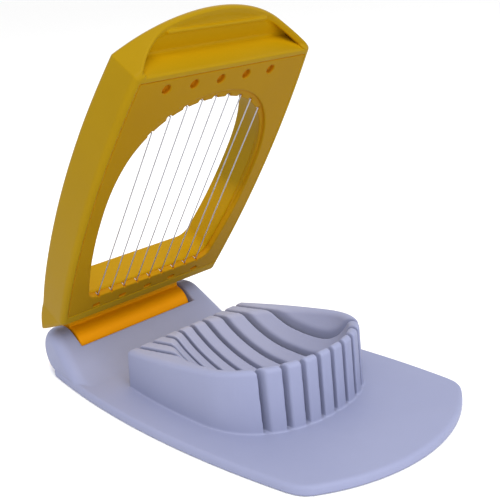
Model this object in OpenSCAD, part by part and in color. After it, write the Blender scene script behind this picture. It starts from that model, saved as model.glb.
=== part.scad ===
// Egg slicer: moulded base with a slotted egg cradle, a hinged cutting frame
// strung with nine stainless wires, and a steel hinge pin.
// Millimetres, +Z up. The base stands on z = 0, its front edge faces -Y and the
// hinge is at +Y. The origin is the centre of the footprint. The frame is drawn
// part open, as it stands when the slicer is loaded.

/* [Base] */
// Half of the greatest width of the base plate
base_hw = 42.4; // [38:0.1:48]
// Thickness of the base plate
plate_t = 3.0; // [2.4:0.1:4]
// Distance from the hinge datum to the front edge of the plate
front_y = 123.2; // [110:0.1:140]
// Radius of the front edge in plan
front_r = 60; // [50:1:140]
// Radius of the two front corners in plan
corner_r = 9.2; // [6:0.1:20]
// Radius of the rear hump over the hinge
hump_r = 8.4; // [7:0.1:10]
// Slope of the front face of the hump in degrees
hump_slope = 38.8; // [30:0.1:45]
// Radius blending the hump into the plate
blend_r = 16; // [8:1:24]

/* [Cradle] */
// Half of the greatest width of the cradle
cradle_hw = 31.0; // [28:0.1:33]
// Rear wall of the cradle, in front of the hinge datum
cradle_rear = 22.5; // [20:0.1:26]
// Front of the cradle, in front of the hinge datum
cradle_front = 89.7; // [84:0.1:92]
// Height of the cradle's top face at the rear wall
cradle_z0 = 16.3; // [14:0.1:18]
// Rise of the cradle's top face per millimetre forward
cradle_rise = 0.122; // [0.05:0.001:0.2]
// Height of the axis that the egg hollow is turned about
bowl_axis = 33.7; // [33:0.1:36]
// Width of a slot in the cradle
slot_w = 1.6; // [1.2:0.1:2.4]
// Level of the slot floors
slot_z = 3.2; // [3.1:0.1:4.5]

/* [Wires] */
// Number of cutting wires
wire_n = 9; // [9]
// Spacing of the wires and of the slots
pitch = 5.73; // [5:0.01:6.5]
// Wire diameter
wire_d = 0.4; // [0.3:0.05:0.6]
// Depth of the wire centres under the frame's lower face
wire_n0 = 0.9; // [0.6:0.05:1.6]

/* [Frame] */
// Opening angle of the frame from closed
open_deg = 57.2; // [0:0.1:115]
// Half of the greatest width of the frame
frame_hw = 40.4; // [38:0.1:42]
// Straight part of the frame's lower face, hinge end to free end
frame_len = 101.4; // [95:0.1:110]
// Reach of the rounded finger end beyond the straight part
lip_reach = 12.6; // [8:0.1:16]
// Greatest depth of the frame
depth = 14.0; // [12:0.1:15.5]
// Level of the finger pocket's floor under the lower face
pocket_n = 9.8; // [8:0.1:10.4]
// Thickness of the frame's outer walls
wall = 2.2; // [1.6:0.1:3]
// Thickness of the frame's top skin
skin = 2.4; // [1.8:0.1:3]
// Thickness of the wire plate closing the underside
cover_t = 2.2; // [1.8:0.1:3]
// Gap between the wire plate and the frame wall
cover_gap = 0.08; // [0.05:0.01:0.2]
// Diameter of the stringing recesses in the wire plate
string_d = 3.0; // [2:0.1:4]

/* [Hinge] */
// Hinge axis behind the hinge datum
axis_y = 13; // [12:0.1:14]
// Hinge axis above the table
axis_z = 8.4; // [8:0.1:9]
// Radius of the frame's hinge barrel
barrel_r = 7.9; // [7:0.1:8.2]
// Half width of the notch in the hump
notch_hw = 26.8; // [24:0.1:28]
// Hinge pin diameter
pin_d = 3.0; // [2:0.1:4]
// Radial clearance of the barrel on the pin
pin_gap = 0.06; // [0.02:0.01:0.1]

/* [Hidden] */
rear_y = axis_y + hump_r;
y0 = (front_y - rear_y) / 2;
base_col = [0.72, 0.74, 0.87];
frame_col = [0.80, 0.60, 0.10];
steel_col = [0.72, 0.73, 0.76];
eps = 0.01;
// hinge axis in the frame's own axes
au = -19.3;
an = -3.3;
barrel_hw = notch_hw - 0.8;

// ---------- outlines ----------
// half width of the base plate at distance y behind the datum
function base_w(y) = base_hw - (y + 63) * (y + 63) / 684;
// half width of the frame at distance u from its hinge end
function frame_w(u) = frame_hw - pow(max(u, 0) - 52, 2) / 644;
// half width of the cradle, a rounded plan shape
cr_mid = 62;
function cradle_w(y) =
    y < cr_mid ? cradle_hw - 3.6 * pow((cr_mid - y) / (cr_mid - cradle_rear), 2)
               : cradle_hw * pow(max(0, 1 - pow((y - cr_mid) / (cradle_front - cr_mid), 2.25)), 1 / 2.25);
// half width of the frame's window
wn_mid = 50;
wn_hw = 32.9;
wn_u0 = 9.4;
wn_wall_u0 = 9.4;
wn_u1 = 90.6;
wn_r = 5;
function window_w(u) =
    u < wn_mid ? wn_hw - 6.2 * pow((wn_mid - u) / 42, 2)
               : wn_hw * pow(max(0, 1 - pow((u - wn_mid) / (wn_u1 - wn_mid), 2.3)), 1 / 2.3);

function mirrored(p) = concat(p, [for (i = [len(p) - 1:-1:0]) if (p[i][0] > eps) [-p[i][0], p[i][1]]]);

// front edge and corner of the plate
fy = -front_y + front_r;
corner_a = 37;
function front_pts() = [for (a = [0:2.85:corner_a]) [front_r * sin(a), fy - front_r * cos(a)]];
function corner_pts() =
    let (cx = (front_r - corner_r) * sin(corner_a), cy = fy - (front_r - corner_r) * cos(corner_a))
    [for (a = [corner_a + 6.5:6.5:84]) [cx + corner_r * sin(a), cy - corner_r * cos(a)]];
corner_cy = fy - (front_r - corner_r) * cos(corner_a);
function side_pts() = [for (y = [corner_cy:4.5:rear_y - 4]) [base_w(y), y]];
function base_pts() = mirrored(concat(front_pts(), corner_pts(), side_pts(),
    [[base_w(rear_y) - 0.7, rear_y - 1.4], [base_w(rear_y) - 2.4, rear_y]]));

function cradle_pts() = mirrored(concat(
    [for (a = [0:6:84]) let (y = cr_mid + (cradle_front - cr_mid) * pow(cos(a), 2 / 2.25))
        [cradle_w(y), -y]],
    [for (y = [cr_mid:-4.94:cradle_rear + 1]) [cradle_w(y), -y]],
    [[cradle_w(cradle_rear) - 0.4, -cradle_rear]]));

// window outline, drawn in by "inset" all round
function window_pts(inset, u0 = wn_u0) = mirrored(concat(
    [[0, wn_u1 - inset]],
    [for (a = [6:6:84]) let (u = wn_mid + (wn_u1 - wn_mid) * pow(cos(a), 2 / 2.3))
        [window_w(u) - inset * sin(a), u - inset * cos(a)]],
    [for (u = [wn_mid:-4.8:u0 + wn_r + 2]) [window_w(u) - inset, u]],
    [for (t = [0:18:90]) [window_w(u0 + wn_r) - inset - wn_r + wn_r * cos(t), u0 + inset + wn_r - wn_r * sin(t)]]));

// inner outline of the thin flange round the window's free end
fl_hw = 32.0;
fl_u1 = 87.5;
function flange_w(u) =
    u < wn_mid ? fl_hw - 2.0 * pow((wn_mid - u) / 37, 2)
               : fl_hw * pow(max(0, 1 - pow((u - wn_mid) / (fl_u1 - wn_mid), 2.3)), 1 / 2.3);
function flange_pts() = mirrored(concat(
    [[0, fl_u1]],
    [for (a = [6:6:84]) let (u = wn_mid + (fl_u1 - wn_mid) * pow(cos(a), 2 / 2.3)) [flange_w(u), u]],
    [for (u = [wn_mid:-6:14]) [flange_w(u), u]],
    [[flange_w(8), 8]]));

// frame plan, drawn in by "inset" all round
lip_hc = frame_w(frame_len);
lip_r = (lip_hc * lip_hc + lip_reach * lip_reach) / (2 * lip_reach);
lip_c = frame_len + lip_reach - lip_r;
lip_a = asin(lip_hc / lip_r);
function lip_pts(inset) = [for (i = [0:14]) let (a = i * lip_a / 14)
    [(lip_r - inset) * sin(a) - (i == 14 ? inset * 0.5 : 0), lip_c + (lip_r - inset) * cos(a)]];
function frame_side(inset, ua, ub) = [for (i = [0:18]) let (u = ua + (ub - ua) * i / 18) [frame_w(u) - inset, u]];
function frame_plan(inset, u_rear) = mirrored(concat(lip_pts(inset),
    [for (i = [18:-1:0]) let (u = u_rear + (frame_len - 1.5 - u_rear) * i / 18) [frame_w(u) - inset, u]]));
function ring_plan(inset, ua, ub) = mirrored([for (i = [18:-1:0])
    let (u = ua + (ub - ua) * i / 18) [frame_w(u) - inset, u]]);

// ---------- helpers ----------
// side profile drawn in the Y-Z plane, swept along X
module sweep_x(hw) rotate([90, 0, 90]) linear_extrude(2 * hw, center = true) children();
// frame axes: x across, y from hinge end to free end, z out of the lower face
module in_frame()
    translate([0, axis_y, axis_z]) rotate([180 - open_deg, 0, 0]) translate([0, -au, -an]) children();

// ---------- base ----------
slope_y = axis_y - hump_r * sin(hump_slope);
slope_z = axis_z + hump_r * cos(hump_slope);
foot_y = slope_y - (slope_z - plate_t) / tan(hump_slope);
bl = blend_r * tan(hump_slope / 2);

module hump_profile() {
    // rounded rear over the hinge
    translate([axis_y, axis_z]) circle(r = hump_r, $fn = 96);
    difference() {
        polygon([[axis_y, 0], [axis_y, axis_z], [slope_y, slope_z], [foot_y, plate_t],
                 [foot_y - bl, plate_t], [foot_y - bl, 0]]);
    }
    // concave blend of the slope into the plate
    difference() {
        polygon([[foot_y - bl, plate_t - eps], [foot_y, plate_t - eps],
                 [foot_y + bl * cos(hump_slope), plate_t + bl * sin(hump_slope)]]);
        translate([foot_y - bl, plate_t + blend_r]) circle(r = blend_r, $fn = 120);
    }
}

module plate_solid() difference() {
    linear_extrude(plate_t) polygon(base_pts());
    translate([-60, axis_y, -1]) cube([120, 60, 20]);
}

module hump_solid() intersection() {
    sweep_x(60) hump_profile();
    translate([0, 0, -1]) linear_extrude(40) polygon(base_pts());
}

// top of the cradle, a face rising to the front
module cradle_block() intersection() {
    translate([0, 0, plate_t - 0.5]) linear_extrude(40) polygon(cradle_pts());
    sweep_x(60) polygon([[-cradle_rear + 1, 0], [-cradle_rear + 1, cradle_z0 - cradle_rise],
        [-cradle_front + 5, cradle_z0 + cradle_rise * (cradle_front - cradle_rear - 5)],
        [-cradle_front + 1.4, cradle_z0 + cradle_rise * (cradle_front - cradle_rear - 5) - 0.5],
        [-cradle_front - 1, cradle_z0 + cradle_rise * (cradle_front - cradle_rear - 5) - 3.2],
        [-cradle_front - 1, 0]]);
}

// hollow for the egg, turned about an axis along Y; distance forward and radius
bowl_pts = [[25.2, 14.0], [27, 17.5], [30, 19.9], [35, 23.1], [42, 26.3], [50, 28.6], [58, 29.5],
            [65, 29.6], [70, 28.8], [74, 27.1], [77.5, 24.6], [80.5, 21.5], [83, 18.0], [85, 14.4], [86.4, 10.6], [87.2, 6.5]];
module egg_hollow()
    translate([0, 0, bowl_axis]) rotate([90, 0, 0])
        rotate_extrude($fn = 120) polygon(concat([[0, bowl_pts[0][0]]],
            [for (p = bowl_pts) [p[1], p[0]]], [[0, bowl_pts[len(bowl_pts) - 1][0]]]));

module slots() for (k = [-(wire_n - 1) / 2:(wire_n - 1) / 2])
    translate([k * pitch - slot_w / 2, -cradle_front - 5, slot_z])
        cube([slot_w, cradle_front - cradle_rear + 10, 40]);

module base() color(base_col) translate([0, y0, 0]) difference() {
    union() {
        plate_solid();
        hump_solid();
        difference() {
            cradle_block();
            egg_hollow();
            slots();
        }
    }
    // notch for the frame's hinge barrel
    translate([-notch_hw, 3.6, -1]) cube([2 * notch_hw, 40, 40]);
    // bore for the pin, blind on the left
    translate([-31.6, axis_y, axis_z]) rotate([0, 90, 0]) cylinder(d = pin_d, h = 80, $fn = 64);
    // underside relief
    translate([0, 0, -eps]) linear_extrude(0.6) difference() {
        polygon([[-30, -28], [30, -28], [30, -84], [-30, -84]]);
        polygon([[-28.5, -29.5], [28.5, -29.5], [28.5, -82.5], [-28.5, -82.5]]);
    }
}

// ---------- frame ----------
// level of the top skin's outer face along the frame: slightly crowned, rounded down to the hinge
top_pts = [[-11.7, -9.2], [-8, -11.2], [-3.7, 1.5 - depth], [3, 1.0 - depth], [11.4, 0.6 - depth], [26, 0.3 - depth],
           [50, -depth], [73, 0.1 - depth], [88, 0.5 - depth], [frame_len, 1.0 - depth], [frame_len + lip_reach + 1, 1.4 - depth]];
function top_n(u) = lookup(u, top_pts);

module frame_side_profile() polygon(concat([[frame_len + lip_reach + 1, 0], [0, 0]], top_pts));

module frame_outer() intersection() {
    translate([0, 0, -20]) linear_extrude(20) polygon(frame_plan(0, -11.7));
    sweep_x(60) frame_side_profile();
}

// space inside the frame between skin and wire plate
module frame_cavity() intersection() {
    translate([0, 0, -20]) linear_extrude(21) polygon(ring_plan(wall, 3.2, frame_len - 2.0));
    sweep_x(60) polygon([[3.2, 1], [frame_len - 2.0, 1], [frame_len - 2.0, top_n(frame_len) + skin],
        [73, top_n(73) + skin], [50, top_n(50) + skin], [11.4, top_n(11.4) + skin], [3.2, -7]]);
}

// window through the frame; a small ledge carries the edge of the wire plate
module window_hole() {
    translate([0, 0, -cover_t]) linear_extrude(cover_t + 1) polygon(window_pts(0));
    translate([0, 0, -20]) linear_extrude(21) polygon(window_pts(0.35, wn_wall_u0));
}

// wall around the window, left standing inside the cavity
module window_wall() intersection() {
    translate([0, 0, -20]) linear_extrude(20 - cover_t) polygon(window_pts(-1.8, wn_wall_u0));
    frame_outer();
}

// finger pocket behind the straight end
module finger_pocket() translate([0, 0, -pocket_n]) linear_extrude(pocket_n + 1) polygon(lip_pocket_pts());
function lip_pocket_pts() = mirrored(concat([for (i = [0:13]) let (a = i * lip_a / 14.4)
    [(lip_r - wall) * sin(a), lip_c + (lip_r - wall) * cos(a)]], [[lip_hc - wall - 1.2, frame_len]]));

// the rounded end wall is swept down to the pocket floor between its two wings
rim_pts = [[35.3, 1], [34.6, -0.4], [32.2, -3], [29.8, -5.3], [26.9, -7.3], [24.2, -8.7], [21.5, -9.5], [19, -pocket_n]];
module finger_cut()
    translate([0, frame_len + 40, 0]) rotate([90, 0, 0]) linear_extrude(39.4)
        polygon(concat(rim_pts, [for (i = [len(rim_pts) - 1:-1:0]) [-rim_pts[i][0], rim_pts[i][1]]]));

// hinge barrel with its neck, on the frame's own axes
module hinge_barrel() {
    translate([-barrel_hw, au, an]) rotate([0, 90, 0]) cylinder(r = barrel_r, h = 2 * barrel_hw, $fn = 96);
    sweep_x(barrel_hw) polygon([[-7.4, -6.4], [-9.7, -7.8], [-10.9, -6.5], [-12.2, -6.0], [au, an],
        [au, an - barrel_r], [-14.0, an - barrel_r * 0.86], [-10.5, top_n(-10.5)], [-6, -10.8]]);
}

// posts carrying the wire plate
post_at = [[34.0, 20], [36.4, 50], [33.6, 82], [30.5, 94.2], [5.4, 95.4], [32.8, 7]];
module posts() for (s = [-1, 1]) for (p = post_at)
    translate([s * p[0], p[1], top_n(p[1]) + 0.5]) cylinder(d = 2.6, h = -top_n(p[1]) - 0.5 - cover_t, $fn = 32);

module frame_shell() color(frame_col) translate([0, y0, 0]) in_frame() difference() {
    union() {
        difference() {
            frame_outer();
            difference() {
                frame_cavity();
                window_wall();
            }
            finger_pocket();
            finger_cut();
        }
        // low rib across the pocket floor
        intersection() {
            frame_outer();
                translate([-20.5, frame_len + 6.5, -pocket_n - 0.4]) cube([41, 1.1, 1.4]);
        }
        posts();
        hinge_barrel();
    }
    window_hole();
    // running bore on the pin
    translate([-50, au, an]) rotate([0, 90, 0]) cylinder(d = pin_d + 2 * pin_gap, h = 100, $fn = 64);
}

// ---------- wire plate ----------
flange_n = 1.0;
function free_u(k) = wn_mid + (fl_u1 - wn_mid) * pow(1 - pow(abs(k * pitch) / fl_hw, 2.3), 1 / 2.3);
// reach of the free space behind the flange at a wire
function behind_u(k) = wn_mid + (wn_u1 - 0.35 - wn_mid) * pow(1 - pow((abs(k * pitch) + 0.3) / (wn_hw - 0.35), 2.3), 1 / 2.3) - 0.25;
string_f = 95.8;
string_h = 4.9;
function string_x(k) = -1.9 + k * 5.45;
notch_u = wn_u0 - 0.45;

module wire_plate() color(frame_col * 0.97) translate([0, y0, 0]) in_frame() difference() {
    translate([0, 0, -cover_t]) linear_extrude(cover_t)
        polygon(ring_plan(wall + cover_gap, 3.2 + cover_gap, frame_len - 2.0 - cover_gap));
    // window, with a thin flange left round its free end
    translate([0, 0, -flange_n]) linear_extrude(flange_n + 1) polygon(window_pts(0));
    intersection() {
        translate([0, 0, -cover_t - 1]) linear_extrude(cover_t + 2) polygon(window_pts(0));
        translate([0, 0, -cover_t - 1]) linear_extrude(cover_t + 2) polygon(flange_pts());
    }
    for (k = [-4:4]) {
        // notches the wires pass through at the free end
        translate([k * pitch, free_u(k) + 0.1, -cover_t - 1]) cylinder(r = 1.05, h = cover_t + 2, $fn = 32);
        // narrow notches at the hinge end
        translate([k * pitch, notch_u, -cover_t - 1]) cylinder(r = 0.35, h = cover_t + 2, $fn = 24);
        translate([k * pitch - 0.35, notch_u, -cover_t - 1]) cube([0.7, 1, cover_t + 2]);
    }
    for (k = [-4:2:4]) {
        // recesses of the stringing holes
        translate([string_x(k), string_f, -1.5]) cylinder(d = string_d, h = 3, $fn = 40);
        translate([string_x(k), string_f, -cover_t - 1]) cylinder(d = 1.2, h = cover_t + 2, $fn = 24);
        translate([k * pitch - 1.5, string_h - 0.7, -0.8]) cube([3.0, 1.4, 3]);
    }
}

// ---------- wires ----------
module wire(k) color(steel_col) translate([0, y0, 0]) in_frame() {
    ua = notch_u;
    ub = free_u(k) + 0.75;
    nb = -cover_t - wire_d / 2 - 0.02;
    translate([k * pitch, ua, -wire_n0]) rotate([-90, 0, 0]) cylinder(d = wire_d, h = ub - ua, $fn = 16);
    // hinge end turned down on to the frame's window wall
    translate([k * pitch, ua, -wire_n0]) sphere(d = wire_d, $fn = 16);
    translate([k * pitch, ua, 0.02 - cover_t]) cylinder(d = wire_d, h = cover_t - 0.02 - wire_n0, $fn = 16);
    // free end turned down through its notch and back behind the flange
    translate([k * pitch, ub, -wire_n0]) sphere(d = wire_d, $fn = 16);
    translate([k * pitch, ub, nb]) cylinder(d = wire_d, h = -wire_n0 - nb, $fn = 16);
    translate([k * pitch, ub, nb]) sphere(d = wire_d, $fn = 16);
    translate([k * pitch, ub, nb]) rotate([-90, 0, 0]) cylinder(d = wire_d, h = behind_u(k) - ub, $fn = 16);
}
module wire_01() wire(-4);
module wire_02() wire(-3);
module wire_03() wire(-2);
module wire_04() wire(-1);
module wire_05() wire(0);
module wire_06() wire(1);
module wire_07() wire(2);
module wire_08() wire(3);
module wire_09() wire(4);

// ---------- hinge pin ----------
module hinge_pin() color(steel_col) translate([-31.4, y0 + axis_y, axis_z]) rotate([0, 90, 0])
    cylinder(d = pin_d, h = 31.4 + 32.6, $fn = 64);

base();
frame_shell();
wire_plate();
hinge_pin();
wire_01();
wire_02();
wire_03();
wire_04();
wire_05();
wire_06();
wire_07();
wire_08();
wire_09();
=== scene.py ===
# Egg slicer, visual model. The base, the frame shell and the wire plate are
# sculpted as distance fields and skinned; the wires and the pin are the CAD's
# own nodes with finished materials. Millimetres in the fields, metres outside.
import math
import bpy
import numpy as np
from mathutils import Matrix, Vector


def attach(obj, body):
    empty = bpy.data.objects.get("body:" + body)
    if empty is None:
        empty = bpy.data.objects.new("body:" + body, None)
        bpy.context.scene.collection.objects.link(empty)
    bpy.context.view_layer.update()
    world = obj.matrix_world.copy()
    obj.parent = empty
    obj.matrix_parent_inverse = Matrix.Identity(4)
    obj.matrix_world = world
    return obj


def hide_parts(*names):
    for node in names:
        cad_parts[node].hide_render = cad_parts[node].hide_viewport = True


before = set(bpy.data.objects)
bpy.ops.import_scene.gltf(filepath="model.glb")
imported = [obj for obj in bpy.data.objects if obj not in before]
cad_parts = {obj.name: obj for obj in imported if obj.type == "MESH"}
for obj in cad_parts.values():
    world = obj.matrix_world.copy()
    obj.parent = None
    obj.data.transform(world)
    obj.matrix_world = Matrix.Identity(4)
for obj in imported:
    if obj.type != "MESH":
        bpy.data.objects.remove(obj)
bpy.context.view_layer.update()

# ---------------------------------------------------------------- dimensions
Y0 = 50.9            # row frame y = datum y + Y0
PLATE_T = 3.0
FRONT_Y, FRONT_R, CORNER_R, CORNER_A = 123.2, 60.0, 9.2, 37.0
HUMP_R, HUMP_SLOPE, BLEND_R = 8.4, 38.8, 16.0
CR_HW, CR_REAR, CR_FRONT, CR_MID = 31.0, 22.5, 89.7, 62.0
CR_Z0, CR_RISE = 16.3, 0.122
BOWL_AXIS = 33.7
BOWL = [(25.2, 14.0), (27, 17.5), (30, 19.9), (35, 23.1), (42, 26.3), (50, 28.6), (58, 29.5), (65, 29.6), (70, 28.8),
        (74, 27.1), (77.5, 24.6), (80.5, 21.5), (83, 18.0), (85, 14.4), (86.4, 10.6), (87.2, 6.5)]
SLOT_W, SLOT_Z = 1.6, 3.2
PITCH, WIRE_N0 = 5.73, 0.9
OPEN = 57.2
F_HW, F_LEN, LIP = 40.4, 101.4, 12.6
DEPTH, POCKET_N, WALL, SKIN, COVER_T = 14.0, 9.8, 2.2, 2.4, 2.2
AXIS_Y, AXIS_Z, BARREL_R, NOTCH = 13.0, 8.4, 7.9, 26.8
AU, AN = -19.3, -3.3
WN_MID, WN_HW, WN_U0, WN_U1, WN_R = 50.0, 32.9, 9.4, 90.6, 5.0
WALL_U0, FL_HW, FL_U1, FLANGE_N, NOTCH_U = 9.4, 32.0, 87.5, 1.0, 8.95
STRING_F, STRING_H = 95.8, 4.9


# ---------------------------------------------------------------- outlines
def arange(a, b, s):
    return list(np.arange(a, b + 1e-6 * (1 if s > 0 else -1), s))


def mirrored(p):
    p = [(float(a), float(b)) for a, b in p]
    return np.array(p + [(-a, b) for a, b in reversed(p) if a > 0.01])


def sind(a): return math.sin(math.radians(a))
def cosd(a): return math.cos(math.radians(a))


def base_w(y): return 42.4 - (y + 63.0) ** 2 / 684.0
def frame_w(u): return F_HW - (max(u, 0.0) - 52.0) ** 2 / 644.0


def base_outline(rear):
    fy = -FRONT_Y + FRONT_R
    p = [(FRONT_R * sind(a), fy - FRONT_R * cosd(a)) for a in arange(0, CORNER_A, 1.5)]
    cx, cy = (FRONT_R - CORNER_R) * sind(CORNER_A), fy - (FRONT_R - CORNER_R) * cosd(CORNER_A)
    p += [(cx + CORNER_R * sind(a), cy - CORNER_R * cosd(a)) for a in arange(CORNER_A + 3, 82, 3)]
    p += [(base_w(y), y) for y in arange(cy, rear, 3.0)]
    p.append((base_w(rear), rear))
    return mirrored(p)


def cradle_outline():
    def w(y):
        if y < CR_MID:
            return CR_HW - 3.6 * ((CR_MID - y) / (CR_MID - CR_REAR)) ** 2
        return CR_HW * max(0.0, 1 - ((y - CR_MID) / (CR_FRONT - CR_MID)) ** 2.25) ** (1 / 2.25)
    p = []
    for a in arange(0, 87, 3):
        y = CR_MID + (CR_FRONT - CR_MID) * cosd(a) ** (2 / 2.25)
        p.append((w(y), -y))
    p += [(w(y), -y) for y in arange(CR_MID, CR_REAR, -2.0)]
    p.append((w(CR_REAR), -CR_REAR))
    return mirrored(p)


def window_w(u):
    if u < WN_MID:
        return WN_HW - 6.2 * ((WN_MID - u) / 42) ** 2
    return WN_HW * max(0.0, 1 - ((u - WN_MID) / (WN_U1 - WN_MID)) ** 2.3) ** (1 / 2.3)


def window_outline(inset, u0=WN_U0):
    p = [(0, WN_U1 - inset)]
    for a in arange(3, 87, 3):
        u = WN_MID + (WN_U1 - WN_MID) * cosd(a) ** (2 / 2.3)
        p.append((window_w(u) - inset * sind(a), u - inset * cosd(a)))
    p += [(window_w(u) - inset, u) for u in arange(WN_MID, u0 + WN_R + 2, -3.0)]
    cx = window_w(u0 + WN_R) - inset - WN_R
    p += [(cx + WN_R * cosd(t), u0 + inset + WN_R - WN_R * sind(t)) for t in arange(0, 90, 7.5)]
    return mirrored(p)


def flange_w(u):
    if u < WN_MID:
        return FL_HW - 2.0 * ((WN_MID - u) / 37) ** 2
    return FL_HW * max(0.0, 1 - ((u - WN_MID) / (FL_U1 - WN_MID)) ** 2.3) ** (1 / 2.3)


def flange_outline():
    p = [(0, FL_U1)]
    for a in arange(3, 87, 3):
        u = WN_MID + (FL_U1 - WN_MID) * cosd(a) ** (2 / 2.3)
        p.append((flange_w(u), u))
    p += [(flange_w(u), u) for u in arange(WN_MID, 4, -3.0)]
    return mirrored(p)


LIP_HC = frame_w(F_LEN)
LIP_R = (LIP_HC ** 2 + LIP ** 2) / (2 * LIP)
LIP_C = F_LEN + LIP - LIP_R
LIP_A = math.degrees(math.asin(LIP_HC / LIP_R))


def frame_outline(rear):
    p = [(LIP_R * sind(a), LIP_C + LIP_R * cosd(a)) for a in np.linspace(0, LIP_A, 26)]
    p += [(frame_w(u), u) for u in np.linspace(F_LEN - 1.5, rear, 40)]
    return mirrored(p)


def ring_outline(inset, ua, ub):
    return mirrored([(frame_w(u) - inset, u) for u in np.linspace(ub, ua, 40)])


def pocket_outline():
    p = [((LIP_R - WALL) * sind(a), LIP_C + (LIP_R - WALL) * cosd(a)) for a in np.linspace(0, LIP_A * 13 / 14.4, 24)]
    p.append((LIP_HC - WALL - 1.2, F_LEN))
    return mirrored(p)


TOP = [(-11.7, -9.2), (-8, -11.2), (-3.7, 1.5 - DEPTH), (3, 1.0 - DEPTH), (11.4, 0.6 - DEPTH), (26, 0.3 - DEPTH),
       (50, -DEPTH), (73, 0.1 - DEPTH), (88, 0.5 - DEPTH), (F_LEN, 1.0 - DEPTH), (F_LEN + LIP + 1, 1.4 - DEPTH)]


def smooth(pts, m=6):
    """Catmull-Rom curve through the points"""
    P = np.array(pts, float)
    P = np.vstack([2 * P[0] - P[1], P, 2 * P[-1] - P[-2]])
    out = []
    for i in range(1, len(P) - 2):
        for t in np.linspace(0, 1, m, endpoint=False):
            a, b, c, d = P[i - 1:i + 3]
            out.append(0.5 * (2 * b + (c - a) * t + (2 * a - 5 * b + 4 * c - d) * t * t + (3 * b - a - 3 * c + d) * t ** 3))
    return np.array(out + [P[-2]])


def top_n(u):
    return float(np.interp(u, [q[0] for q in TOP], [q[1] for q in TOP]))


# ---------------------------------------------------------------- distance fields
def poly_sdf(px, py, poly):
    """signed distance of points to a closed polygon, negative inside"""
    px, py = np.broadcast_arrays(px, py)
    best = np.full(px.shape, 1e9, np.float64)
    inside = np.zeros(px.shape, bool)
    n = len(poly)
    for i in range(n):
        ax, ay = poly[i]
        bx, by = poly[(i + 1) % n]
        ex, ey = bx - ax, by - ay
        L = ex * ex + ey * ey
        if L < 1e-12:
            continue
        wx, wy = px - ax, py - ay
        t = np.clip((wx * ex + wy * ey) / L, 0, 1)
        best = np.minimum(best, (wx - t * ex) ** 2 + (wy - t * ey) ** 2)
        c = ((ay <= py) & (by > py)) | ((by <= py) & (ay > py))
        if ey != 0:
            inside ^= c & (px < ax + (py - ay) / ey * ex)
    return (np.where(inside, -1.0, 1.0) * np.sqrt(best)).astype(np.float32)


def rint(a, b, r):
    """intersection with a rounded edge of radius r"""
    a2, b2 = np.maximum(a + r, 0), np.maximum(b + r, 0)
    return np.minimum(np.maximum(a + r, b + r), 0) + np.sqrt(a2 * a2 + b2 * b2) - r


def runi(a, b, r):
    """union with a fillet of radius r"""
    return -rint(-a, -b, r)


def rsub(a, b, r):
    """a without b, the new edge rounded by r"""
    return rint(a, -b, r)


def grid(lo, hi, h):
    ax = [np.arange(l, u + h, h, dtype=np.float32) for l, u in zip(lo, hi)]
    return ax, ax[0][:, None, None], ax[1][None, :, None], ax[2][None, None, :]


def skin_field(F, axes):
    """surface nets: vertices and quads of the zero level of F"""
    nx, ny, nz = F.shape
    s = F < 0
    c = np.zeros((nx - 1, ny - 1, nz - 1), np.int8)
    offs = [(i, j, k) for i in (0, 1) for j in (0, 1) for k in (0, 1)]
    for i, j, k in offs:
        c += s[i:nx - 1 + i, j:ny - 1 + j, k:nz - 1 + k]
    mask = (c > 0) & (c < 8)
    ids = np.argwhere(mask)
    index = np.full(mask.shape, -1, np.int64)
    index[mask] = np.arange(len(ids))
    acc = np.zeros((len(ids), 3)); cnt = np.zeros(len(ids))
    for a in offs:
        for d in range(3):
            if a[d]:
                continue
            b = list(a); b[d] = 1
            fa = F[ids[:, 0] + a[0], ids[:, 1] + a[1], ids[:, 2] + a[2]].astype(float)
            fb = F[ids[:, 0] + b[0], ids[:, 1] + b[1], ids[:, 2] + b[2]].astype(float)
            cross = (fa < 0) != (fb < 0)
            t = np.where(cross, fa / np.where(cross, fa - fb, 1), 0)
            for e in range(3):
                acc[:, e] += np.where(cross, a[e] + (b[e] - a[e]) * t, 0)
            cnt += cross
    v = ids + acc / cnt[:, None]
    h = [float(x[1] - x[0]) for x in axes]
    v = np.stack([axes[i][0] + v[:, i] * h[i] for i in range(3)], 1)
    quads = []
    # the four cells round each crossing grid edge, in order about the axis
    for d, (p, q) in enumerate(((1, 2), (2, 0), (0, 1))):
        sl0 = [slice(None)] * 3; sl1 = [slice(None)] * 3
        sl0[d] = slice(0, -1); sl1[d] = slice(1, None)
        for e in (p, q):
            sl0[e] = slice(1, -1); sl1[e] = slice(1, -1)
        A, B = s[tuple(sl0)], s[tuple(sl1)]
        for flip, hit in ((False, A & ~B), (True, ~A & B)):
            g = np.argwhere(hit)
            if not len(g):
                continue
            g[:, p] += 1; g[:, q] += 1
            ring = []
            for dp, dq in ((-1, -1), (0, -1), (0, 0), (-1, 0)):
                w = g.copy(); w[:, p] += dp; w[:, q] += dq
                ring.append(index[w[:, 0], w[:, 1], w[:, 2]])
            f = np.stack(ring, 1)
            quads.append(f[:, ::-1] if flip else f)
    return v, np.concatenate(quads)


def make_mesh(name, v, quads):
    me = bpy.data.meshes.new(name)
    me.vertices.add(len(v)); me.loops.add(4 * len(quads)); me.polygons.add(len(quads))
    me.vertices.foreach_set("co", np.ascontiguousarray(v, np.float32).ravel())
    me.loops.foreach_set("vertex_index", np.ascontiguousarray(quads, np.int32).ravel())
    me.polygons.foreach_set("loop_start", np.arange(0, 4 * len(quads), 4, dtype=np.int32))
    me.polygons.foreach_set("use_smooth", np.ones(len(quads), bool))
    me.update(calc_edges=True)
    me.validate()
    o = bpy.data.objects.new(name, me)
    bpy.context.scene.collection.objects.link(o)
    return o


def row_from_base(v):
    return np.stack([v[:, 0], v[:, 1] + Y0, v[:, 2]], 1) / 1000.0


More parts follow.
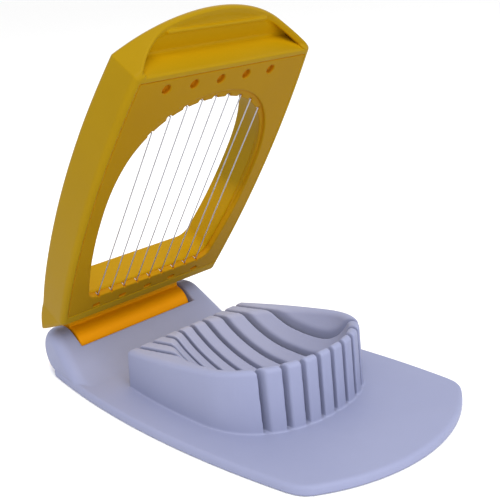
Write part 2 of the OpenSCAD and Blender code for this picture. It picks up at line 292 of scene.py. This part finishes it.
def row_from_frame(v):
    """frame axes (x across, u along, n out of the lower face) to the row frame"""
    ph = math.radians(180 - OPEN)
    u, n = v[:, 1] - AU, v[:, 2] - AN
    y = AXIS_Y + u * math.cos(ph) - n * math.sin(ph)
    z = AXIS_Z + u * math.sin(ph) + n * math.cos(ph)
    return np.stack([v[:, 0], y + Y0, z], 1) / 1000.0


FINE = 0.36


# ---------------------------------------------------------------- base
def hump_outline():
    a = HUMP_SLOPE
    sy, sz = AXIS_Y - HUMP_R * sind(a), AXIS_Z + HUMP_R * cosd(a)
    foot = sy - (sz - PLATE_T) / math.tan(math.radians(a))
    bl = BLEND_R * math.tan(math.radians(a / 2))
    p = [(foot - bl - 4, 0.0), (foot - bl - 4, PLATE_T - 0.6), (foot - bl, PLATE_T)]
    for t in arange(3, a, 3):
        p.append((foot - bl + BLEND_R * sind(t), PLATE_T + BLEND_R - BLEND_R * cosd(t)))
    for t in arange(90 + a, -90, -4):
        p.append((AXIS_Y + HUMP_R * cosd(t), AXIS_Z + HUMP_R * sind(t)))
    return np.array(p)


def build_base():
    ax, X, Y, Z = grid((-43.4, -125.2, -0.9), (43.4, 22.4, 25.6), FINE)
    plan = poly_sdf(X[:, :, 0], Y[:, :, 0], base_outline(12.0))[:, :, None]
    plan_long = poly_sdf(X[:, :, 0], Y[:, :, 0], base_outline(34.0))[:, :, None]
    plate = rint(rint(plan, Z - PLATE_T, 1.25), -Z, 0.5)
    prof = poly_sdf(Y[0, :, :], Z[0, :, :], hump_outline())[None]
    hump = rint(prof, plan_long, 4.2)
    d = np.minimum(plate, hump)
    notch = np.maximum(np.abs(X) - NOTCH, 3.6 - Y)
    d = rsub(d, notch, 0.55)
    # cradle, its walls leaning in a little towards the top
    cp = poly_sdf(X[:, :, 0], Y[:, :, 0], cradle_outline())[:, :, None]
    cp = cp + np.maximum(Z - PLATE_T, 0) * 0.035
    top = (Z - (CR_Z0 + CR_RISE * (-Y - CR_REAR))) * 0.9926
    cr = rint(cp, top, 1.6)
    # hollow for the egg, a turned shape on an axis along y
    prof_b = smooth(BOWL)
    prof_b = np.vstack([[prof_b[0][0] - 2.5, 0], [prof_b[0][0] - 1.2, prof_b[0][1] - 4], prof_b, [prof_b[-1][0] + 0.2, 0]])
    rho_t = np.arange(0, 62, 0.15)
    yy = -ax[1].astype(float)
    tab = poly_sdf(yy[:, None], rho_t[None, :], prof_b)
    rho = np.sqrt(X[:, 0, :] ** 2 + (Z[:, 0, :] - BOWL_AXIS) ** 2)
    bowl = np.empty(cr.shape, np.float32)
    for j in range(len(yy)):
        bowl[:, j, :] = np.interp(rho, rho_t, tab[j])
    cr = rsub(cr, bowl, 1.2)
    # slots
    k = np.clip(np.round(X / PITCH), -4, 4)
    slot = np.maximum(np.abs(X - k * PITCH) - SLOT_W / 2, SLOT_Z - Z)
    cr = rsub(cr, slot, 0.5)
    cr = np.maximum(cr, 1.5 - Z)
    d = runi(d, cr, 0.45)
    v, q = skin_field(d, ax)
    return make_mesh("base_moulding", row_from_base(v), q)


# ---------------------------------------------------------------- frame shell
def build_shell():
    ax, X, U, N = grid((-41.2, -28.2, -15.2), (41.2, 114.9, 5.6), FINE)
    plan = poly_sdf(X[:, :, 0], U[:, :, 0], frame_outline(-11.7))[:, :, None]
    side = np.vstack([[(130.0, 0.0), (0.0, 0.0)], smooth(TOP), [(130.0, 1.4 - DEPTH)]])
    prof = poly_sdf(U[0, :, :], N[0, :, :], side)[None]
    d = rint(plan, prof, 1.9)
    # hinge barrel and neck
    bar = np.sqrt((U - AU) ** 2 + (N - AN) ** 2) - BARREL_R
    neck = poly_sdf(U[0, :, :], N[0, :, :], np.array([(-7.4, -6.4), (-9.7, -7.8), (-10.9, -6.5), (-12.2, -6.0), (AU, AN),
        (AU, AN - BARREL_R), (-14.0, AN - BARREL_R * 0.86), (-10.5, top_n(-10.5)), (-6, -10.8)]))[None]
    hinge = rint(np.minimum(bar, neck), np.abs(X) - (NOTCH - 0.8), 0.5)
    d = np.minimum(d, hinge)
    # running bore for the hinge pin
    d = np.maximum(d, 1.75 - np.sqrt((U - AU) ** 2 + (N - AN) ** 2))
    # seat of the wire plate
    seat = poly_sdf(X[:, :, 0], U[:, :, 0], ring_outline(WALL, 3.2, F_LEN - 2.0))[:, :, None]
    d = rsub(d, np.maximum(seat, -COVER_T - N), 0.12)
    # window
    wide = poly_sdf(X[:, :, 0], U[:, :, 0], window_outline(0.35, WALL_U0))[:, :, None]
    d = rsub(d, wide + np.zeros_like(N), 0.7)
    # finger pocket
    pk = poly_sdf(X[:, :, 0], U[:, :, 0], pocket_outline())[:, :, None]
    d = rsub(d, rint(pk, -POCKET_N - N, 0.9), 0.45)
    # the rounded end wall is swept down to the pocket floor between its two wings
    half = smooth([(36.2, 1.6), (35.3, 0.8), (34.4, -0.5), (32.2, -3), (29.8, -5.3), (26.9, -7.3), (24.2, -8.7), (21.5, -9.5), (19, -POCKET_N)], 3)
    rim = np.vstack([half, [(0, -POCKET_N)], half[::-1] * [-1, 1], [(0, 3)]])
    rim = np.vstack([[(36.2, 3)], half, half[::-1] * [-1, 1], [(-36.2, 3)]])
    rc = poly_sdf(X[:, 0, :], N[0, :, :], rim)[:, None, :]
    d = rsub(d, np.maximum(rc, F_LEN + 0.6 - U), 0.55)
    # low rib across the pocket floor
    rib = rint(rint(np.abs(U - (F_LEN + 7.05)) - 0.6, N + POCKET_N - 1.0, 0.45), np.abs(X) - 20.5, 0.4)
    d = runi(d, np.maximum(rib, -POCKET_N - 0.5 - N), 0.3)
    v, q = skin_field(d, ax)
    return make_mesh("frame_moulding", row_from_frame(v), q)


# ---------------------------------------------------------------- wire plate
def free_u(k):
    return WN_MID + (FL_U1 - WN_MID) * (1 - (abs(k * PITCH) / FL_HW) ** 2.3) ** (1 / 2.3)


def build_plate():
    h = 0.26
    ax, X, U, N = grid((-39.0, 2.4, -COVER_T - 0.6), (39.0, 100.2, 0.7), h)
    ring = poly_sdf(X[:, :, 0], U[:, :, 0], ring_outline(WALL + 0.08, 3.28, F_LEN - 2.08))[:, :, None]
    d = rint(rint(ring, N, 0.25), -COVER_T - N, 0.15)
    front = poly_sdf(X[:, :, 0], U[:, :, 0], window_outline(0.0))[:, :, None]
    thin = poly_sdf(X[:, :, 0], U[:, :, 0], flange_outline())[:, :, None]
    win = np.maximum(front, thin)
    # notches that the wires pass through at the free end
    for k in range(-4, 5):
        r = np.sqrt((X - k * PITCH) ** 2 + (U - free_u(k) - 0.1) ** 2) - 1.05
        win = runi(win, r, 0.25)
    # narrow notches at the hinge end
    for k in range(-4, 5):
        r = np.sqrt((X - k * PITCH) ** 2 + np.minimum(U - NOTCH_U, 0) ** 2) - 0.35
        win = np.minimum(win, np.maximum(r, U - NOTCH_U - 1.0))
    d = rsub(d, rint(front, -FLANGE_N - N, 0.15), 0.4)
    d = rsub(d, win + np.zeros_like(N), 0.2)
    # recesses of the stringing holes
    for k in range(-4, 5, 2):
        r = np.sqrt((X + 1.9 - k * 5.45) ** 2 + (U - STRING_F) ** 2)
        d = rsub(d, np.maximum(r - 1.55, -1.5 - N), 0.25)
        d = rsub(d, r - 0.6 + 0 * N, 0.2)
        r = rint(np.abs(X - k * PITCH) - 1.5, np.abs(U - STRING_H) - 0.7, 0.6)
        d = rsub(d, np.maximum(r, -0.8 - N), 0.3)
    v, q = skin_field(d, ax)
    return make_mesh("wire_plate_moulding", row_from_frame(v), q)


# ---------------------------------------------------------------- materials
def plastic(name, col, col2, rough, bump, scale=1.0, coat=0.0, sss=0.0, spec=0.3, hollow_shade_col=None, barrel_shade_col=None):
    m = bpy.data.materials.new(name)
    m.use_nodes = True
    nt = m.node_tree
    b = nt.nodes["Principled BSDF"]
    tc = nt.nodes.new("ShaderNodeTexCoord")

    def noise(s, detail=3.0, ro=0.5):
        n = nt.nodes.new("ShaderNodeTexNoise")
        n.inputs["Scale"].default_value = s * scale
        n.inputs["Detail"].default_value = detail
        n.inputs["Roughness"].default_value = ro
        nt.links.new(tc.outputs["Object"], n.inputs["Vector"])
        return n
    big, mid, fine = noise(22, 3), noise(160, 4, 0.6), noise(1500, 2)
    # slow drift of the pigment, and faint handling marks
    mix = nt.nodes.new("ShaderNodeMix"); mix.data_type = "RGBA"
    mix.inputs["A"].default_value = (*col, 1); mix.inputs["B"].default_value = (*col2, 1)
    ramp = nt.nodes.new("ShaderNodeMapRange")
    ramp.inputs["From Min"].default_value = 0.35; ramp.inputs["From Max"].default_value = 0.68
    nt.links.new(big.outputs["Fac"], ramp.inputs["Value"])
    nt.links.new(ramp.outputs["Result"], mix.inputs["Factor"])
    sp = nt.nodes.new("ShaderNodeMix"); sp.data_type = "RGBA"; sp.blend_type = "MULTIPLY"
    sp.inputs["Factor"].default_value = 0.05
    nt.links.new(mix.outputs["Result"], sp.inputs["A"])
    nt.links.new(mid.outputs["Fac"], sp.inputs["B"])
    last = sp
    if hollow_shade_col:
        # painted shade and bounce light: a deeper orange painted where ambient occlusion finds the surface hemmed
        # in, standing in for the shade and yellow inter-reflection in the hollows
        ao = nt.nodes.new("ShaderNodeAmbientOcclusion")
        ao.samples = 8
        ao.inputs["Distance"].default_value = 0.016
        mr = nt.nodes.new("ShaderNodeMapRange")
        mr.inputs["From Min"].default_value = 0.45; mr.inputs["From Max"].default_value = 0.92
        nt.links.new(ao.outputs["AO"], mr.inputs["Value"])
        dm = nt.nodes.new("ShaderNodeMix"); dm.data_type = "RGBA"
        dm.inputs["A"].default_value = (*hollow_shade_col, 1)
        nt.links.new(mr.outputs["Result"], dm.inputs["Factor"])
        nt.links.new(sp.outputs["Result"], dm.inputs["B"])
        last = dm
    if barrel_shade_col:
        # painted shade and bounce light: the hinge barrel gets a deeper orange of its own, standing in for the shade
        # and yellow inter-reflection it sits in
        sb = nt.nodes.new("ShaderNodeVectorMath"); sb.operation = "SUBTRACT"
        sb.inputs[1].default_value = (0, (AXIS_Y + Y0) / 1000, AXIS_Z / 1000)
        mu = nt.nodes.new("ShaderNodeVectorMath"); mu.operation = "MULTIPLY"
        mu.inputs[1].default_value = (0, 1, 1)
        ln = nt.nodes.new("ShaderNodeVectorMath"); ln.operation = "LENGTH"
        nt.links.new(tc.outputs["Object"], sb.inputs[0])
        nt.links.new(sb.outputs["Vector"], mu.inputs[0])
        nt.links.new(mu.outputs["Vector"], ln.inputs[0])
        fr = nt.nodes.new("ShaderNodeMapRange")
        fr.inputs["From Min"].default_value = 0.0081; fr.inputs["From Max"].default_value = 0.0105
        nt.links.new(ln.outputs["Value"], fr.inputs["Value"])
        bm = nt.nodes.new("ShaderNodeMix"); bm.data_type = "RGBA"
        bm.inputs["A"].default_value = (*barrel_shade_col, 1)
        nt.links.new(fr.outputs["Result"], bm.inputs["Factor"])
        nt.links.new(last.outputs["Result"], bm.inputs["B"])
        last = bm
    nt.links.new(last.outputs["Result"], b.inputs["Base Color"])
    rr = nt.nodes.new("ShaderNodeMapRange")
    rr.inputs["To Min"].default_value = rough - 0.06; rr.inputs["To Max"].default_value = rough + 0.08
    nt.links.new(mid.outputs["Fac"], rr.inputs["Value"])
    nt.links.new(rr.outputs["Result"], b.inputs["Roughness"])
    bp = nt.nodes.new("ShaderNodeBump")
    bp.inputs["Strength"].default_value = bump
    bp.inputs["Distance"].default_value = 0.00006
    nt.links.new(fine.outputs["Fac"], bp.inputs["Height"])
    nt.links.new(bp.outputs["Normal"], b.inputs["Normal"])
    b.inputs["IOR"].default_value = 1.5
    b.inputs["Specular IOR Level"].default_value = spec
    b.inputs["Coat Weight"].default_value = coat
    b.inputs["Coat Roughness"].default_value = 0.25
    if sss:
        b.inputs["Subsurface Weight"].default_value = sss
        b.inputs["Subsurface Radius"].default_value = (0.002, 0.0018, 0.0018)
    return m


def steel(name, col, rough):
    m = bpy.data.materials.new(name)
    m.use_nodes = True
    nt = m.node_tree
    b = nt.nodes["Principled BSDF"]
    tc = nt.nodes.new("ShaderNodeTexCoord")
    n = nt.nodes.new("ShaderNodeTexNoise")
    n.inputs["Scale"].default_value = 900; n.inputs["Detail"].default_value = 3
    nt.links.new(tc.outputs["Object"], n.inputs["Vector"])
    mix = nt.nodes.new("ShaderNodeMix"); mix.data_type = "RGBA"
    mix.inputs["A"].default_value = (*col, 1)
    mix.inputs["B"].default_value = (*[c * 0.72 for c in col], 1)
    nt.links.new(n.outputs["Fac"], mix.inputs["Factor"])
    nt.links.new(mix.outputs["Result"], b.inputs["Base Color"])
    rr = nt.nodes.new("ShaderNodeMapRange")
    rr.inputs["To Min"].default_value = rough; rr.inputs["To Max"].default_value = rough + 0.15
    nt.links.new(n.outputs["Fac"], rr.inputs["Value"])
    nt.links.new(rr.outputs["Result"], b.inputs["Roughness"])
    b.inputs["Metallic"].default_value = 1.0
    return m


M_BASE = plastic("base_plastic", (0.250, 0.268, 0.402), (0.236, 0.254, 0.388), 0.50, 0.25, spec=0.12)
# the hollow colours of the frame and the plate, and the frame's barrel colour, are painted shade and bounce light,
# not pigment
M_FRAME = plastic("frame_plastic", (0.285, 0.172, 0.0020), (0.268, 0.160, 0.0018), 0.42, 0.25, spec=0.05,
                  hollow_shade_col=(0.420, 0.225, 0.0010), barrel_shade_col=(0.680, 0.265, 0.0010))
M_PLATE = plastic("plate_plastic", (0.275, 0.150, 0.0015), (0.260, 0.140, 0.0013), 0.50, 0.3, spec=0.04,
                  hollow_shade_col=(0.390, 0.136, 0.0010))
M_WIRE = steel("wire_steel", (0.50, 0.50, 0.54), 0.35)
M_PIN = steel("pin_steel", (0.58, 0.58, 0.60), 0.3)


def dress(o, mat, body, node=None):
    o.data.materials.clear()
    o.data.materials.append(mat)
    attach(o, body)
    if node:
        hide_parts(node)


base = build_base()
dress(base, M_BASE, "base_body", "base")
shell = build_shell()
dress(shell, M_FRAME, "frame_body", "frame_shell")
plate = build_plate()
dress(plate, M_PLATE, "frame_body", "wire_plate")
for name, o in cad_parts.items():
    if name.startswith("wire_0") or name == "hinge_pin":
        mat = M_PIN if name == "hinge_pin" else M_WIRE
        if not o.material_slots:
            o.data.materials.append(mat)
        for s in o.material_slots:
            s.material = mat

# ---------------------------------------------------------------- floor, light, camera
bpy.ops.mesh.primitive_plane_add(size=80, location=(0, 0, -0.0002))
floor = bpy.context.object
floor.name = "studio_floor"
fm = bpy.data.materials.new("floor_paper")
fm.use_nodes = True
fm.node_tree.nodes["Principled BSDF"].inputs["Base Color"].default_value = (0.965, 0.965, 0.965, 1)
fm.node_tree.nodes["Principled BSDF"].inputs["Roughness"].default_value = 0.9
fm.node_tree.nodes["Principled BSDF"].inputs["Specular IOR Level"].default_value = 0.1
floor.data.materials.append(fm)

world = bpy.data.worlds.new("studio")
bpy.context.scene.world = world
world.use_nodes = True
world.node_tree.nodes["Background"].inputs["Color"].default_value = (1, 1, 1, 1)
world.node_tree.nodes["Background"].inputs["Strength"].default_value = 1.0


def area(name, loc, target, size, power, col=(1, 1, 1)):
    L = bpy.data.lights.new(name, "AREA")
    L.shape = "SQUARE"; L.size = size; L.energy = power; L.color = col
    o = bpy.data.objects.new(name, L)
    bpy.context.scene.collection.objects.link(o)
    o.location = loc
    o.rotation_euler = (Vector(target) - Vector(loc)).to_track_quat("-Z", "Y").to_euler()
    return o


area("key", (-0.32, -0.55, 1.00), (0, 0, 0.03), 0.7, 9.0)
area("fill", (-0.35, -1.05, 0.20), (0, 0, 0.05), 0.7, 3.6)
area("rim", (0.6, 0.5, 0.8), (0, 0, 0.05), 0.6, 1.0)
# warm light thrown back on to the hump by the frame's lower face
w = area("bounce", (0.0, 0.035, 0.062), (0, 0.052, 0.0), 0.05, 0.014, (1.0, 0.72, 0.18))

# camera solved from the straight edges and the even spacing of slots and holes
CAM = dict(f=923.364, az=-44.805, el=17.583, roll=-4.263, dist=377.385, sx=44.603, sy=19.934)
S = 0.9
az, el, ro = (math.radians(CAM[k]) for k in ("az", "el", "roll"))
back = Vector((math.sin(az) * math.cos(el), -math.cos(az) * math.cos(el), math.sin(el)))
right = Vector((math.cos(az), math.sin(az), 0))
up = back.cross(right)
R2 = right * math.cos(ro) + up * math.sin(ro)
U2 = -right * math.sin(ro) + up * math.cos(ro)
pos = (Vector((0, 0, 20)) + back * CAM["dist"] + right * CAM["sx"] + up * CAM["sy"]) * S + Vector((0, Y0, 0))
cam_data = bpy.data.cameras.new("camera")
cam_data.sensor_width = 36.0
cam_data.lens = CAM["f"] / 500.0 * 36.0
cam = bpy.data.objects.new("camera", cam_data)
bpy.context.scene.collection.objects.link(cam)
m = Matrix(((R2.x, U2.x, back.x), (R2.y, U2.y, back.y), (R2.z, U2.z, back.z))).to_4x4()
m.translation = pos / 1000.0
cam.matrix_world = m
cam_data.clip_start, cam_data.clip_end = 0.01, 20
bpy.context.scene.camera = cam
bpy.context.scene.view_settings.view_transform = "Standard"
